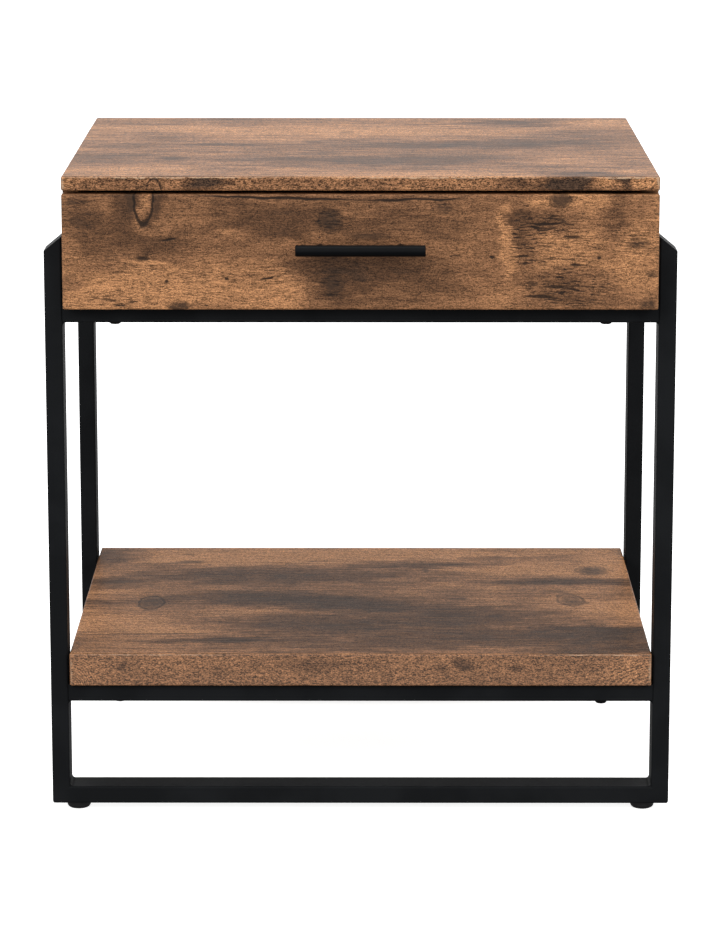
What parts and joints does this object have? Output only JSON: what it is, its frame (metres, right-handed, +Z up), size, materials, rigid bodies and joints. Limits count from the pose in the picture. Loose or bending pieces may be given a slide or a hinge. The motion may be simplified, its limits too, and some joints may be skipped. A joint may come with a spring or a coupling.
{
  "type": "side table",
  "caption": "Side table with a sliding drawer and a lower shelf: rustic wood boards bolted between welded black tube frames that stand on round glides.",
  "frame": {"origin": "on the floor, in the middle of the overall width and of the overall depth, handle included", "axes": "+X to the right seen from the front, -Y towards the user on the drawer side, +Z up"},
  "size_m": [0.6, 0.5054, 0.625],
  "materials": {
    "black_steel": "satin black powder coat",
    "rustic_wood": "rustic brown, matt embossed grain",
    "inner_board": "dark brown foil, matt",
    "dowel_wood": "raw beech",
    "zinc_steel": "bright zinc plated",
    "cage_plastic": "moulded nylon",
    "glide_plastic": "moulded polyethylene"
  },
  "bodies": {
    "frame": {"front_left_upright": "black_steel", "front_right_upright": "black_steel", "rear_left_upright": "black_steel", "rear_right_upright": "black_steel", "upright_caps": "black_steel", "front_floor_rail": "black_steel", "front_shelf_rail": "black_steel", "front_drawer_rail": "black_steel", "rear_floor_rail": "black_steel", "rear_shelf_rail": "black_steel", "rear_drawer_rail": "black_steel", "weld_beads": "black_steel", "front_left_glide": "glide_plastic", "front_right_glide": "glide_plastic", "rear_left_glide": "glide_plastic", "rear_right_glide": "glide_plastic", "shelf_board": "rustic_wood", "shelf_bolts": "black_steel", "shelf_inserts": "zinc_steel", "top_panel": "rustic_wood", "housing_left_side": "rustic_wood", "housing_right_side": "rustic_wood", "housing_bottom": "inner_board", "housing_back": "rustic_wood", "housing_bolts": "black_steel", "housing_inserts": "zinc_steel", "housing_cam_bolts": "zinc_steel", "housing_cams": "zinc_steel", "housing_dowels": "dowel_wood", "left_cabinet_member": "zinc_steel", "right_cabinet_member": "zinc_steel", "cabinet_member_screws": "zinc_steel"},
    "drawer": {"drawer_front": "rustic_wood", "drawer_left_side": "inner_board", "drawer_right_side": "inner_board", "drawer_back": "inner_board", "drawer_bottom": "inner_board", "drawer_cam_bolts": "zinc_steel", "drawer_cams": "zinc_steel", "drawer_dowels": "dowel_wood", "drawer_back_screws": "zinc_steel", "handle": "black_steel", "handle_screws": "zinc_steel", "left_drawer_member": "zinc_steel", "right_drawer_member": "zinc_steel", "drawer_member_screws": "zinc_steel"},
    "left_middle": {"left_middle_member": "zinc_steel"},
    "left_outer_cage": {"left_outer_ball_cage": "cage_plastic"},
    "left_inner_cage": {"left_inner_ball_cage": "cage_plastic"},
    "right_middle": {"right_middle_member": "zinc_steel"},
    "right_outer_cage": {"right_outer_ball_cage": "cage_plastic"},
    "right_inner_cage": {"right_inner_ball_cage": "cage_plastic"}
  },
  "joints": [
    {"name": "drawer_slide", "type": "slide", "parent": "frame", "child": "drawer", "axis": [0, -1, 0], "range_m": [0, 0.38]},
    {"name": "left_middle_slide", "type": "slide", "parent": "frame", "child": "left_middle", "axis": [0, -1, 0], "range_m": [0, 0.19]},
    {"name": "left_outer_cage_slide", "type": "slide", "parent": "frame", "child": "left_outer_cage", "axis": [0, -1, 0], "range_m": [0, 0.095]},
    {"name": "left_inner_cage_slide", "type": "slide", "parent": "frame", "child": "left_inner_cage", "axis": [0, -1, 0], "range_m": [0, 0.285]},
    {"name": "right_middle_slide", "type": "slide", "parent": "frame", "child": "right_middle", "axis": [0, -1, 0], "range_m": [0, 0.19]},
    {"name": "right_outer_cage_slide", "type": "slide", "parent": "frame", "child": "right_outer_cage", "axis": [0, -1, 0], "range_m": [0, 0.095]},
    {"name": "right_inner_cage_slide", "type": "slide", "parent": "frame", "child": "right_inner_cage", "axis": [0, -1, 0], "range_m": [0, 0.285]}
  ],
  "couplings": [
    {"joint": "left_middle_slide", "follows": "drawer_slide", "ratio": 0.5},
    {"joint": "left_outer_cage_slide", "follows": "drawer_slide", "ratio": 0.25},
    {"joint": "left_inner_cage_slide", "follows": "drawer_slide", "ratio": 0.75},
    {"joint": "right_middle_slide", "follows": "drawer_slide", "ratio": 0.5},
    {"joint": "right_outer_cage_slide", "follows": "drawer_slide", "ratio": 0.25},
    {"joint": "right_inner_cage_slide", "follows": "drawer_slide", "ratio": 0.75}
  ]
}
